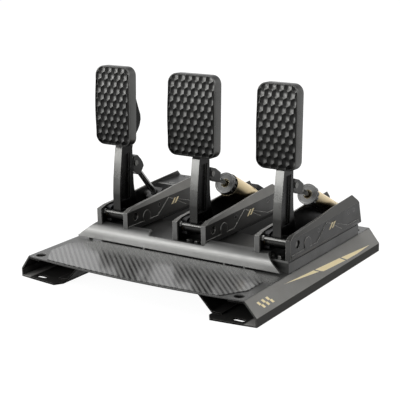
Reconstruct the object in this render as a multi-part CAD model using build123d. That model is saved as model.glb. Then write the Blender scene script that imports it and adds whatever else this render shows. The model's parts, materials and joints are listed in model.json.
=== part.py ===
# Sim racing pedal set: clutch, brake and throttle on one folded steel base.
# Millimetres. +X is to the driver's right, +Y away from the driver, +Z up.
# Lengths along Y are first counted from the deck's front corners; the last step moves the
# whole set so that the origin is the centre of its footprint, on the floor.
from build123d import *

import os
from math import asin, atan2, cos, degrees, hypot, radians, sin, sqrt

# Shared allowances
cut_over = 1.0
seat_gap = 0.3
running_gap = 0.05
close_gap = 0.5

# Base
base_width = 430.0
base_depth = 408.0
front_bow = 12.5
deck_height = 37.5
deck_sheet = 2.0
side_height = 13.5
rail_slope_run = 18.8
rail_sheet = 2.5
rail_lip_width = 24.0
rail_foot_width = 81.0
rail_nose_cut = 13.0
brace_sheet = 2.5
brace_top_inset = 30.0
brace_tab = 16.0
brace_end_gap = 15.0

# Mounting slots through the rail feet, under round access holes in the deck
mount_side_inset = 34.0
mount_end_inset = 24.25
slot_width = 9.0
slot_length = 20.0
access_hole = 16.0

# Foot plate
foot_plate_sheet = 1.5
foot_plate_side_margin = 15.2
foot_plate_front_side_margin = 46.2
foot_plate_corner_share = 0.32
foot_plate_shoulder_share = 0.68
foot_plate_heel_gap = 4.0
foot_plate_rear_side_margin = 50.2
foot_plate_front_margin = 2.5

# Heel bar, and the depth that it and the pedal units take up in front of the deck's rear edge
heel_front_y = 117.0
units_depth = 291.0
heel_radius = 18.0
heel_crest_height = 29.0
heel_sheet = 3.0
heel_floor_gap = 3.0
heel_left_low_inset = 2.2
heel_left_high_inset = 36.2
heel_right_low_inset = 9.2
heel_right_high_inset = 36.2
heel_notch_width = 104.0
heel_notch_drop = 6.5
heel_notch_slant = 5.0
heel_rib = 3.0
heel_ribs_past_clutch = (-45.3, 66.7)
heel_ribs_past_throttle = (-79.5, -44.5)

# Platform that carries the three pedal units
platform_height = 16.5
platform_sheet = 2.5
platform_front_y = 128.5
platform_strip_depth = 97.5
platform_finger_width = 52.0
platform_rear_past_eye = 29.0

# Pedal units
clutch_side_inset = 69.5
brake_x = 22.0
throttle_side_inset = 26.7
unit_width = 61.0
inner_width = 44.5
wall = 3.0
floor_sheet = 3.0
bracket_front_y = 128.5
bracket_rear_past_eye = 28.5

# Side cover outline, from the front foot round to the rear foot
cover_front_y = 125.5
cover_rear_past_eye = 31.0
cover_foot_gap = 4.0
cover_front_height = 89.8
cover_nose_y = 140.0
cover_nose_height = 94.3
cover_waist_y = 225.0
cover_waist_height = 100.0
cover_knee_y = 268.0
cover_knee_height = 104.0
cover_peak_past_eye = 10.0
cover_peak_height = 108.0
cover_tail_past_eye = 20.0
cover_tail_height = 97.5
cover_skin = 2.0
cover_rim = 2.2
cover_fold_rear_height = 94.4
cover_foot_bevel_height = 4.5
cover_foot_bevel_depth = 1.5

# Raised strip along each cover's foot, with one tall point and a slanted facet behind it
panel_raise = 1.0
panel_front_y = 128.0
panel_top_height = 66.4
panel_rise_y = 208.6
panel_apex_y = 241.0
panel_apex_height = 90.0
panel_rear_past_eye = 16.0
panel_foot_past_eye = 23.0
facet_right_before_eye = 21.0
facet_low_before_eye = 46.0
facet_low_height = 67.0
facet_sink = 0.6
disc_radius = 10.0
disc_y = 178.0
disc_z = 73.0

# Pivot of each pedal
pivot_y = 147.8
pivot_z = 79.0
shaft_radius = 6.0
shaft_head_radius = 5.2
shaft_head = 2.5
cover_pivot_hole = 6.6
bush_radius = 8.0
bush_flange_radius = 9.5
bush_flange = 1.2
hub_radius = 10.5
tie_rod_y = 134.5
tie_rod_z = 84.5
tie_rod_radius = 2.5
tie_nut_radius = 4.6
tie_nut = 4.0

# Angle sensor round the shaft
sensor_side = 27.0
sensor_depth = 9.0
magnet_wall = 3.2

# Arm
arm_width = 14.0
arm_web = 6.0
arm_edge_y = (139.0, 139.0, 141.0, 144.5, 148.0)
arm_edge_z = (84.0, 115.0, 140.0, 165.0, 187.0)
arm_back_y = (176.0, 176.0, 177.0, 180.0, 185.0, 181.0)
arm_back_z = (184.0, 150.0, 125.0, 105.0, 91.0, 73.0)
arm_heel_y = 160.0
arm_heel_z = 67.5
arm_flange = 3.2
arm_pocket_low = 103.0
arm_pocket_high = 178.0
arm_pocket_back_low_y = 165.6
arm_pocket_back_high_y = 170.0
head_back_y = (182.0, 188.0, 193.0, 198.0, 201.0, 200.5, 197.5, 190.5, 186.5, 172.0)
head_back_z = (205.0, 207.0, 212.0, 219.0, 228.0, 236.0, 243.0, 262.0, 273.0, 292.0)
head_hole_y = 180.0
head_hole_z = 227.0
head_hole = 4.2
head_flange_width = 34.0
head_flange = 5.0
head_flange_low = 12.0
head_flange_height = 92.0

# Pad
pad_foot_y = 151.5
pad_foot_z = 191.3
pad_lifts = {"clutch": 3.4, "brake": 1.2, "throttle": -1.1}
pad_height = 126.0
pad_depth = 15.5
pad_bulge = 5.8
pad_lean = 2.2
pad_corner = 14.0
pad_wall = 4.0
pad_face = 5.0
pad_widths = {"clutch": 67.5, "brake": 86.0, "throttle": 67.5}
pad_edge = 1.2
pad_screw_x = 12.0
pad_screw_inset = 9.0
pad_screw_radius = 2.5
pad_screw_head_radius = 4.6
pad_screw_head = 3.0

# Fork pin on the arm, and the arm's rear lug
pin_y = 184.0
pin_z = 158.0
pin_radius = 3.0
pin_head_radius = 4.6
pin_head = 1.5
lug_radius = 7.0
lug_width = 8.0

# Hydraulic units behind the brake and the throttle
rear_eye_heights = {"brake": 73.16, "throttle": 77.74}
strut_length = 175.0
fork_slot = 8.6
fork_slot_reach = 9.5
fork_outline_y = (180.5, 193.9, 208.8, 205.5, 180.5, 177.0)
fork_outline_z = (169.0, 164.5, 154.6, 138.8, 149.0, 152.5)
rod_radius = 4.0
rod_start = 14.0
piston_share = 0.583
piston_clearance = 1.6
piston_length = 8.0
knob_starts = {"brake": 53.5, "throttle": 56.0}
knob_lengths = {"brake": 11.0, "throttle": 9.0}
knob_radii = {"brake": 17.5, "throttle": 16.5}
knob_lobes = 12
knob_lobe_cut = 2.6
knob_lobe_depth = 1.4
knob_face_rim = 2.5
knob_dish = 1.5
knob_bore = 7.4
cylinder_radii = {"brake": 18.6, "throttle": 13.3}
cylinder_wall = 2.2
cylinder_eye_gap = 22.0
cylinder_end_wall = 5.0
cylinder_gland = 5.4
ring_groove_inset = 14.0
ring_groove_width = 2.0
ring_groove_depth = 0.8
cap_length = 8.0
eye_radius = 9.0
eye_width = 18.0
rear_pin_radius = 4.0
rear_sleeve_radius = 7.0
spring_wire = 2.5
spring_clearance = 0.8
spring_turns = 7

# Sensor block on the rear of the brake cylinder
sensor_block_width = 20.0
sensor_block_top = 25.0
sensor_block_start_gap = 33.0
sensor_block_end_gap = 8.0

# Clutch strut
clutch_block_y = 250.0
clutch_block_z = 87.0
clutch_rod_radius = 5.0
clutch_rod_tail = 4.0
clutch_block_side = 24.0
clutch_block_length = 20.0
clutch_gland = 6.0
clutch_fork_y = (180.5, 189.5, 199.0, 203.5, 205.8, 201.5, 195.0, 187.0, 178.0, 176.8)
clutch_fork_z = (170.5, 170.5, 161.5, 155.3, 149.3, 143.5, 137.5, 138.0, 145.0, 156.0)
clutch_bridge_before_eye = 51.0
clutch_bridge_sheet = 2.0
clutch_bridge_z = 100.0
clutch_bridge_slot = 4.0
clutch_bridge_slot_length = 14.0

# Fasteners
screw_radius = 3.0
screw_head_radius = 5.0
screw_head = 4.0
nut_radius = 5.5
nut_height = 5.0
bracket_screw_x = 7.5
bracket_screw_front_y = 137.8
bracket_screw_before_eye = 17.0
small_screw_radius = 2.0
small_head_radius = 3.2
small_head = 1.4
cover_screw_front_y = 215.0
cover_screws_past_eye = (-19.0, 1.0)
cover_screw_z = (83.5, 86.0, 86.0)
deck_screw_side_inset = 10.2
deck_screw_count = 4
deck_screw_end_gap = 45.0
deck_screw_head = 2.0
deck_screw_cover = 0.5

# Control box under the deck
box_width = 96.0
box_depth = 62.0
box_height = 22.0
box_wall = 2.0
box_rear_gap = 37.0
box_tab = 9.0
board_sheet = 1.6
board_gap = 3.0
board_stand = 5.0
socket_width = 9.5
socket_height = 4.0
socket_depth = 8.0
socket_wall = 0.6
lid_sheet = 2.0

# Worked out from the sizes above
reach = (base_width + base_depth) * 2
centre_y = (base_depth - front_bow) / 2
units_shift = base_depth - units_depth - heel_front_y
mount_span_x = base_width - mount_side_inset * 2
mount_span_y = base_depth + front_bow - mount_end_inset * 2
foot_plate_rear_y = heel_front_y + units_shift - foot_plate_heel_gap
box_centre_y = base_depth - box_rear_gap - box_depth / 2
rear_eye_y = pin_y + sqrt(strut_length**2 - (pin_z - rear_eye_heights["brake"]) ** 2)
platform_rear_y = rear_eye_y + platform_rear_past_eye
bracket_rear_y = rear_eye_y + bracket_rear_past_eye
bracket_screw_rear_y = rear_eye_y - bracket_screw_before_eye
cover_rear_y = rear_eye_y + cover_rear_past_eye
cover_peak_y = rear_eye_y + cover_peak_past_eye
cover_tail_y = rear_eye_y + cover_tail_past_eye
cover_screw_y = (cover_screw_front_y, *[rear_eye_y + past for past in cover_screws_past_eye])
panel_rear_y = rear_eye_y + panel_rear_past_eye
panel_foot_rear_y = rear_eye_y + panel_foot_past_eye
facet_right_y = rear_eye_y - facet_right_before_eye
facet_low_y = rear_eye_y - facet_low_before_eye
clutch_bridge_front_y = rear_eye_y - clutch_bridge_before_eye
cylinder_end = strut_length - cylinder_eye_gap
ring_groove = cylinder_end - ring_groove_inset
rod_end = strut_length * piston_share
sensor_block_start = strut_length - sensor_block_start_gap
sensor_block_end = strut_length - sensor_block_end_gap
half_width = base_width / 2
deck_half = half_width - rail_slope_run
foot_half = half_width - rail_foot_width
clutch_x = clutch_side_inset - deck_half
throttle_x = deck_half - throttle_side_inset
unit_x = {"clutch": clutch_x, "brake": brake_x, "throttle": throttle_x}
heel_left_low_x = heel_left_low_inset - deck_half
heel_left_high_x = heel_left_high_inset - deck_half
heel_right_low_x = deck_half - heel_right_low_inset
heel_right_high_x = deck_half - heel_right_high_inset
heel_rib_places = [clutch_x + past for past in heel_ribs_past_clutch]
heel_rib_places += [throttle_x + past for past in heel_ribs_past_throttle]
deck_screw_x = deck_half - deck_screw_side_inset
deck_under = deck_height - deck_sheet
platform_top = deck_height + platform_height
floor_top = platform_top + floor_sheet
cover_foot_z = platform_top + cover_foot_gap
inner_half = inner_width / 2
wall_outer = inner_half + wall
unit_half = unit_width / 2
mount_front_y = centre_y - mount_span_y / 2
mount_rear_y = centre_y + mount_span_y / 2
unit_names = tuple(unit_x)

parts = {}
unit_parts = {}


def yz_plate(points, half):
    """A plate with its outline in Y and Z, and its thickness along X."""
    outline = Polyline(*[(0, y, z) for y, z in points], close=True)
    return extrude(make_face(outline), half, dir=(1, 0, 0), both=True)


def xz_bar(points, start_y, end_y):
    """A bar with its outline in X and Z, and its length along Y."""
    outline = Polyline(*[(x, start_y, z) for x, z in points], close=True)
    return extrude(make_face(outline), end_y - start_y, dir=(0, 1, 0))


def xy_plate(points, low, high):
    """A plate with its outline in X and Y, and its thickness along Z."""
    outline = Polyline(*[(x, y, low) for x, y in points], close=True)
    return extrude(make_face(outline), high - low, dir=(0, 0, 1))


def block(x0, x1, y0, y1, z0, z1):
    """A box between two corners."""
    size = Box(x1 - x0, y1 - y0, z1 - z0)
    return Pos((x0 + x1) / 2, (y0 + y1) / 2, (z0 + z1) / 2) * size


def rod_x(radius, x0, x1, y, z):
    """A round bar along X."""
    bar = Cylinder(radius, x1 - x0, align=(Align.CENTER, Align.CENTER, Align.MIN))
    return Plane(origin=(x0, y, z), z_dir=(1, 0, 0)) * bar


def rod_z(radius, x, y, z0, z1):
    """A round bar along Z."""
    bar = Cylinder(radius, z1 - z0, align=(Align.CENTER, Align.CENTER, Align.MIN))
    return Pos(x, y, z0) * bar


def rod_along(plane, radius, s0, s1):
    """A round bar along a plane's own Z, from s0 to s1."""
    bar = Cylinder(radius, s1 - s0, align=(Align.CENTER, Align.CENTER, Align.MIN))
    return plane * Pos(0, 0, s0) * bar


def hex_x(radius, x0, x1, y, z):
    """A six-sided bar along X."""
    bar = extrude(RegularPolygon(radius, 6), x1 - x0)
    return Plane(origin=(x0, y, z), z_dir=(1, 0, 0)) * bar


def hex_z(radius, x, y, z0, z1):
    """A six-sided bar along Z."""
    return Pos(x, y, z0) * extrude(RegularPolygon(radius, 6), z1 - z0)


def above(origin, normal):
    """A large block that fills the side of a plane that its normal points to."""
    side = Box(reach, reach, reach, align=(Align.CENTER, Align.CENTER, Align.MIN))
    return Plane(origin=origin, z_dir=normal) * side


def solids_of(*shapes):
    """Separate solids kept together under one name."""
    return Compound([solid for shape in shapes for solid in shape.solids()])


def front_cutter(margin=0.0):
    """All the space in front of the bowed front edge."""
    radius = (deck_half**2 + front_bow**2) / (2 * front_bow)
    disc = rod_z(radius - margin, 0, radius - front_bow, -cut_over, deck_height + platform_height)
    whole = block(-base_width, base_width, -base_depth, heel_front_y, -cut_over * 2, deck_height * 2)
    return whole - disc


# Base sheet metal


def deck_plate():
    """The top sheet, with a bowed front edge and access holes at its corners."""
    plate = block(-deck_half, deck_half, -front_bow, base_depth, deck_under, deck_height)
    plate -= front_cutter()
    for x in (-mount_span_x / 2, mount_span_x / 2):
        for y in (mount_front_y, mount_rear_y):
            plate -= rod_z(access_hole / 2, x, y, 0, deck_height + cut_over)
    for x, y in deck_screw_places():
        plate -= rod_z(small_screw_radius, x, y, 0, deck_height - deck_screw_cover)
    return plate


def deck_screw_places():
    """Screws along both sides, between the deck and the rails' upper lips."""
    first = deck_screw_end_gap
    step = (base_depth - deck_screw_end_gap * 2) / (deck_screw_count - 1)
    places = [first + i * step for i in range(deck_screw_count)]
    return [(side * deck_screw_x, y) for side in (-1, 1) for y in places]


def side_rail(side):
    """A folded side rail: lip under the deck, sloped fairing, low side and wide foot."""
    run = half_width - deck_half
    drop = deck_height - side_height
    slope = hypot(run, drop)
    inner_x = deck_half - rail_sheet * drop / slope
    inner_z = deck_height - rail_sheet * run / slope
    lip_under = deck_under - rail_sheet
    inner_top = inner_x + (inner_z - lip_under) * run / drop
    wall_x = half_width - rail_sheet
    inner_low = inner_z - (wall_x - inner_x) * drop / run
    edge = deck_half + seat_gap
    edge_z = deck_height - seat_gap * drop / run
    outline = [
        (deck_half - rail_lip_width, deck_under),
        (edge, deck_under),
        (edge, edge_z),
        (half_width, side_height),
        (half_width, 0),
        (foot_half, 0),
        (foot_half, rail_sheet),
        (wall_x, rail_sheet),
        (wall_x, inner_low),
        (inner_top, lip_under),
        (deck_half - rail_lip_width, lip_under),
    ]
    rail = xz_bar([(side * x, z) for x, z in outline], -front_bow, base_depth)
    rail -= front_cutter()
    nose_y = mount_front_y - slot_width / 2
    nose = [(foot_half - cut_over, nose_y + cut_over), (foot_half + rail_nose_cut, -front_bow)]
    nose.append((foot_half - cut_over, -front_bow))
    rail -= xy_plate([(side * x, y) for x, y in nose], -cut_over, rail_sheet + cut_over)
    for y in (mount_front_y, mount_rear_y):
        slot = extrude(SlotOverall(slot_length, slot_width), rail_sheet + cut_over * 2)
        rail -= Pos(side * mount_span_x / 2, y, -cut_over) * slot
        rail -= rod_z(access_hole / 2, side * mount_span_x / 2, y, lip_under - cut_over, deck_height)
    for x, y in deck_screw_places():
        rail -= rod_z(small_screw_radius, x, y, lip_under - cut_over, deck_height)
    return rail


def rail_brace(side):
    """A joggled stiffener from the deck's underside down to the rail's foot."""
    top_x = foot_half - brace_top_inset
    low_x = foot_half
    under = deck_under
    foot = rail_sheet
    run = low_x - top_x
    drop = under - foot - brace_sheet
    shift = brace_sheet * (hypot(run, drop) - run) / drop
    outline = [
        (top_x - brace_tab, under),
        (top_x, under),
        (low_x, foot + brace_sheet),
        (low_x + brace_tab, foot + brace_sheet),
        (low_x + brace_tab, foot),
        (low_x - shift, foot),
        (top_x - shift, under - brace_sheet),
        (top_x - brace_tab, under - brace_sheet),
    ]
    return xz_bar([(side * x, z) for x, z in outline], brace_end_gap, base_depth - brace_end_gap)


def foot_plate():
    """The thin textured plate on the deck that the heels rest on."""
    half = deck_half - foot_plate_side_margin
    front = deck_half - foot_plate_front_side_margin
    rear = deck_half - foot_plate_rear_side_margin
    corner_y = foot_plate_rear_y * foot_plate_corner_share
    shoulder_y = foot_plate_rear_y * foot_plate_shoulder_share
    right = [(front, -front_bow), (half, corner_y), (half, shoulder_y), (rear, foot_plate_rear_y)]
    left = [(-x, y) for x, y in reversed(right)]
    plate = xy_plate(right + left, deck_height, deck_height + foot_plate_sheet)
    return plate - front_cutter(foot_plate_front_margin)


def heel_bar():
    """The convex bar behind the foot plate: a curved shell on ribs, with slanted ends."""
    bottom = deck_height + heel_floor_gap
    crest = deck_height + heel_crest_height
    centre = (heel_front_y + heel_radius, crest - heel_radius)
    inner = heel_radius - heel_sheet
    ends = (heel_left_low_x, heel_right_low_x)
    past = (ends[0] - cut_over, ends[1] + cut_over)
    shell = rod_x(heel_radius, *ends, *centre)
    shell += block(*ends, heel_front_y, centre[0], bottom, centre[1])
    shell -= rod_x(inner, *past, *centre)
    shell -= block(*past, heel_front_y + heel_sheet, reach, 0, centre[1])
    shell -= block(*past, centre[0], reach, 0, reach)
    shell -= block(*past, 0, reach, 0, bottom)
    for x in heel_rib_places:
        across = (x - heel_rib / 2, x + heel_rib / 2)
        rib = rod_x(heel_radius - heel_sheet / 2, *across, *centre)
        rib += block(*across, heel_front_y + heel_sheet / 2, centre[0], deck_height, centre[1])
        rib -= block(*across, 0, reach, 0, deck_height)
        rib -= block(*across, platform_front_y - seat_gap, reach, 0, reach)
        shell += rib
    left_normal = (-(crest - bottom), 0, heel_left_high_x - heel_left_low_x)
    right_normal = (crest - bottom, 0, heel_right_low_x - heel_right_high_x)
    shell -= above((heel_left_low_x, heel_front_y, bottom), left_normal)
    shell -= above((heel_right_low_x, heel_front_y, bottom), right_normal)
    notch_half = heel_notch_width / 2
    notch_z = crest - heel_notch_drop
    wide = notch_half + heel_notch_slant
    notch = [(-notch_half, notch_z), (notch_half, notch_z)]
    notch += [(wide, crest + cut_over), (-wide, crest + cut_over)]
    shell -= xz_bar(notch, heel_front_y - cut_over, centre[0] + cut_over)
    for x in unit_x.values():
        for side in (-1, 1):
            low = x + side * (inner_half - close_gap)
            high = x + side * (unit_half + panel_raise + close_gap)
            post = (cover_front_y - close_gap, centre[0] + cut_over, deck_height, crest + cut_over)
            shell -= block(min(low, high), max(low, high), *post)
    return max(shell.solids(), key=lambda solid: solid.volume)


def platform():
    """A pressed tray on the deck: one strip across, and a finger under each pedal unit."""
    finger = platform_finger_width / 2
    left = unit_x["clutch"] - finger
    right = unit_x["throttle"] + finger
    strip_rear = platform_front_y + platform_strip_depth
    tray = block(left, right, platform_front_y, strip_rear, deck_height, platform_top)
    for x in unit_x.values():
        tray += block(x - finger, x + finger, platform_front_y, platform_rear_y, deck_height, platform_top)
    sheet = platform_sheet
    low = (deck_height - cut_over, platform_top - sheet)
    hollow = block(left + sheet, right - sheet, platform_front_y + sheet, strip_rear - sheet, *low)
    for x in unit_x.values():
        deep = (platform_front_y + sheet, platform_rear_y - sheet)
        hollow += block(x - finger + sheet, x + finger - sheet, *deep, *low)
    tray -= hollow
    for x, y in bracket_screw_places():
        tray -= rod_z(screw_radius + running_gap, x, y, deck_height, platform_top + cut_over)
    return tray


# Pedal units: fixed parts


def bracket_screw_places():
    """Four screws hold each pedal unit to the platform."""
    return [
        (x + side * bracket_screw_x, y)
        for x in unit_x.values()
        for side in (-1, 1)
        for y in (bracket_screw_front_y, bracket_screw_rear_y)
    ]


def cover_outline(inset=0.0):
    """The side cover's outline in Y and Z, drawn in by an inset."""
    return [
        (cover_front_y + inset, cover_foot_z),
        (cover_front_y + inset, cover_front_height - inset),
        (cover_nose_y, cover_nose_height - inset),
        (cover_waist_y, cover_waist_height - inset),
        (cover_knee_y, cover_knee_height - inset),
        (cover_peak_y - inset / 2, cover_peak_height - inset),
        (cover_tail_y - inset, cover_tail_height - inset / 2),
        (cover_rear_y - inset, cover_foot_z),
    ]


def bracket(name):
    """A folded U bracket: a floor and two walls, bored for the shaft, rod and rear pin."""
    x = unit_x[name]
    inset = cover_rim + close_gap
    outline = cover_outline(inset)
    outline[0] = (bracket_front_y, platform_top)
    outline[1] = (bracket_front_y, cover_front_height - inset)
    outline[-1] = (bracket_rear_y, platform_top)
    body = Pos(x, 0, 0) * yz_plate(outline, wall_outer)
    body -= block(x - inner_half, x + inner_half, 0, reach, floor_top, reach)
    for side in (-1, 1):
        body -= Pos(x, 0, 0) * cover_roof(side, cover_skin + close_gap)
    across = (x - unit_half, x + unit_half)
    body -= rod_x(bush_radius, *across, pivot_y, pivot_z)
    body -= rod_x(tie_rod_radius, *across, tie_rod_y, tie_rod_z)
    if name == "clutch":
        body -= rod_x(rear_pin_radius, *across, clutch_block_y, clutch_block_z)
        body += clutch_bridge(x)
    else:
        body -= rod_x(rear_pin_radius, *across, *strut_point(name, strut_length))
    for y, z in zip(cover_screw_y, cover_screw_z):
        body -= rod_x(small_screw_radius, *across, y, z)
    for hole_x, y in bracket_screw_places():
        body -= rod_z(screw_radius + running_gap, hole_x, y, deck_height, floor_top + cut_over)
    return body


def clutch_bridge(x):
    """The slotted plate that ties the clutch unit's walls together at the rear."""
    top = clutch_bridge_z
    low = top - clutch_bridge_sheet
    rear_y = cover_peak_y + cover_rim * 2
    plate = block(x - inner_half, x + inner_half, clutch_bridge_front_y, rear_y, low, top)
    slot = extrude(SlotOverall(clutch_bridge_slot_length, clutch_bridge_slot), clutch_bridge_sheet * 3)
    for y in (clutch_bridge_front_y + clutch_bridge_slot * 2, rear_y - clutch_bridge_slot * 2):
        plate -= Pos(x, y, low - clutch_bridge_sheet) * slot
    return plate


def cover_roof(side, depth=0.0):
    """The space over the slanted top of a cover, moved down by a depth."""
    fold_rise = (cover_fold_rear_height - cover_front_height) / (cover_tail_y - cover_front_y)
    rear_fold_z = cover_front_height + fold_rise * (cover_peak_y - cover_front_y)
    steep = (cover_peak_height - rear_fold_z) / (unit_half - inner_half)
    fold = (side * (unit_half - depth), cover_front_y, cover_front_height - depth)
    return above(fold, (side * steep, -fold_rise, 1))


def cover_panel():
    """The raised strip and point on a cover's outer face, with its slanted facet and disc."""
    apex = (panel_apex_y, panel_apex_height)
    right = (facet_right_y, panel_top_height)
    low = (facet_low_y, facet_low_height)
    outline = [
        (panel_front_y, cover_foot_z),
        (panel_front_y, panel_top_height),
        (panel_rise_y, panel_top_height),
        apex,
        right,
        (panel_rear_y, panel_top_height),
        (panel_foot_rear_y, cover_foot_z),
    ]
    face = unit_half + panel_raise
    panel = block(unit_half - cover_skin / 2, face, 0, reach, 0, reach)
    panel &= Pos(unit_half, 0, 0) * yz_plate(outline, panel_raise)
    top = Vector(face, *apex)
    across = Vector(face, *low) - top
    down = Vector(unit_half - facet_sink, *right) - top
    wedge = above(tuple(top), tuple(down.cross(across)))
    panel -= wedge & (Pos(unit_half, 0, 0) * yz_plate([apex, right, low], panel_raise + cut_over))
    return panel + rod_x(disc_radius, unit_half - cover_skin / 2, face, disc_y, disc_z)


def cover(name, side):
    """A side cover: a skin with a rim over the bracket wall, and a sculpted outer face."""
    depth = unit_half - inner_half
    middle = (unit_half + inner_half) / 2
    shell = Pos(middle, 0, 0) * yz_plate(cover_outline(), depth / 2)
    shell -= cover_roof(1)
    shell += cover_panel()
    foot_bevel = (unit_half + panel_raise - cover_foot_bevel_depth, cover_front_y, cover_foot_z)
    shell -= above(foot_bevel, (cover_foot_bevel_height, 0, -cover_foot_bevel_depth))
    pocket_half = (depth - cover_skin) / 2
    pocket_outline = cover_outline(cover_rim)
    pocket_outline[0] = (cover_front_y + cover_rim, cover_foot_z - cut_over)
    pocket_outline[-1] = (cover_rear_y - cover_rim, cover_foot_z - cut_over)
    pocket = Pos(inner_half + pocket_half, 0, 0) * yz_plate(pocket_outline, pocket_half)
    shell -= pocket - cover_roof(1, cover_skin)
    shell -= rod_x(cover_pivot_hole, 0, unit_width, pivot_y, pivot_z)
    for y, z in zip(cover_screw_y, cover_screw_z):
        through = rod_x(small_screw_radius, 0, unit_width, y, z)
        shell -= rod_x(small_head_radius + running_gap, unit_half - small_head, unit_width, y, z)
        shell += rod_x(small_head_radius, wall_outer, unit_half - cover_skin, y, z)
        shell -= through
    shell = max(shell.solids(), key=lambda solid: solid.volume)
    if side < 0:
        shell = mirror(shell, about=Plane.YZ)
    return Pos(unit_x[name], 0, 0) * shell


def pivot_bushes():
    """Flanged bushes in the bracket walls, two to a pedal."""
    bushes = []
    for x in unit_x.values():
        for side in (-1, 1):
            face = inner_half * side
            body = rod_x(bush_radius, *sorted((face, wall_outer * side)), pivot_y, pivot_z)
            flange = sorted((face, (inner_half - bush_flange) * side))
            body += rod_x(bush_flange_radius, *flange, pivot_y, pivot_z)
            body -= rod_x(shaft_radius + running_gap, -unit_half, unit_half, pivot_y, pivot_z)
            bushes.append(Pos(x, 0, 0) * body)
    return solids_of(*bushes)


def tie_rods():
    """A rod between the walls in front of each pivot, with a nut inside the left wall."""
    rods = []
    for x in unit_x.values():
        rod = rod_x(tie_rod_radius, -wall_outer, wall_outer, tie_rod_y, tie_rod_z)
        rod += hex_x(tie_nut_radius, -inner_half, -inner_half + tie_nut, tie_rod_y, tie_rod_z)
        rods.append(Pos(x, 0, 0) * rod)
    return solids_of(*rods)


def angle_sensors():
    """A housing on the left wall of each unit that reads the turn of the shaft."""
    housings = []
    low = -inner_half
    for x in unit_x.values():
        half = sensor_side / 2
        deep = (pivot_y - tie_rod_radius, pivot_y + half + tie_rod_radius * 2)
        high = (pivot_z - half + tie_rod_radius, pivot_z + half)
        body = block(low, low + sensor_depth, *deep, *high)
        nose = rod_x(hub_radius + magnet_wall, low, low + sensor_depth, pivot_y, pivot_z)
        body += nose - block(low - cut_over, 0, 0, pivot_y - hub_radius + tie_rod_radius, 0, reach)
        body -= rod_x(hub_radius + seat_gap, -unit_half, unit_half, pivot_y, pivot_z)
        housings.append(Pos(x, 0, 0) * body)
    return solids_of(*housings)


def bracket_screws():
    """Hex screws through each bracket floor and the platform."""
    low = platform_top - platform_sheet - nut_height
    screws = []
    for x, y in bracket_screw_places():
        shank = rod_z(screw_radius, x, y, low, floor_top)
        screws.append(shank + hex_z(screw_head_radius, x, y, floor_top, floor_top + screw_head))
    return solids_of(*screws)


def bracket_nuts():
    """Nuts under the platform, one to each bracket screw."""
    high = platform_top - platform_sheet
    nuts = []
    for x, y in bracket_screw_places():
        nut = hex_z(nut_radius, x, y, high - nut_height, high)
        nuts.append(nut - rod_z(screw_radius, x, y, deck_height, high + cut_over))
    return solids_of(*nuts)


def cover_screws():
    """Small screws through the covers into the bracket walls."""
    screws = []
    for x in unit_x.values():
        for side in (-1, 1):
            for y, z in zip(cover_screw_y, cover_screw_z):
                head = sorted((side * (unit_half - small_head), side * unit_half))
                shank = sorted((side * inner_half, side * (unit_half - small_head)))
                screw = rod_x(small_head_radius, *head, y, z) + rod_x(small_screw_radius, *shank, y, z)
                screws.append(Pos(x, 0, 0) * screw)
    return solids_of(*screws)


def deck_screws():
    """Round-headed screws from below, through the rails' lips into the deck."""
    lip = deck_under - rail_sheet
    screws = []
    for x, y in deck_screw_places():
        shank = rod_z(small_screw_radius, x, y, lip, deck_height - deck_screw_cover)
        screws.append(shank + rod_z(small_head_radius, x, y, lip - deck_screw_head, lip))
    return solids_of(*screws)


# Control box


def control_box():
    """A shallow box screwed up against the deck's underside, open below."""
    half = box_width / 2
    y0 = box_centre_y - box_depth / 2
    y1 = box_centre_y + box_depth / 2
    low = deck_under - box_height
    body = block(-half, half, y0, y1, low, deck_under)
    tabs = (box_centre_y - box_tab, box_centre_y + box_tab, deck_under - box_wall, deck_under)
    body += block(-half - box_tab, half + box_tab, *tabs)
    inside = (y0 + box_wall, y1 - box_wall, low - cut_over, deck_under - box_wall)
    body -= block(-half + box_wall, half - box_wall, *inside)
    socket_low = socket_floor()
    through = (y1 - box_wall - cut_over, y1 + cut_over, socket_low, socket_low + socket_height)
    return body - block(-socket_width / 2, socket_width / 2, *through)


def control_box_lid():
    """The lid that closes the control box from below."""
    half = box_width / 2
    deep = box_depth / 2
    low = deck_under - box_height
    return block(-half, half, box_centre_y - deep, box_centre_y + deep, low - lid_sheet, low)


def control_board():
    """The circuit board in the control box, on four stands."""
    half = box_width / 2 - box_wall - board_gap
    y0 = box_centre_y - box_depth / 2 + box_wall + board_gap
    y1 = box_centre_y + box_depth / 2 - box_wall - board_gap
    top = socket_floor()
    board = block(-half, half, y0, y1, top - board_sheet, top)
    for x in (-half + board_stand, half - board_stand):
        for y in (y0 + board_stand, y1 - board_stand):
            board += rod_z(board_stand / 2, x, y, top, deck_under - box_wall)
    return board


def socket_floor():
    """The height at which the data socket sits on the board."""
    return deck_under - box_height / 2 - socket_height / 2


def usb_socket():
    """The data socket in the rear wall of the control box."""
    low = socket_floor()
    rear = box_centre_y + box_depth / 2
    half = socket_width / 2
    front = rear - socket_depth
    shell = block(-half, half, front, rear, low, low + socket_height)
    inside = (front + socket_wall, rear + cut_over, low + socket_wall, low + socket_height - socket_wall)
    return shell - block(-half + socket_wall, half - socket_wall, *inside)


# Pedal units: moving parts


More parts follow.
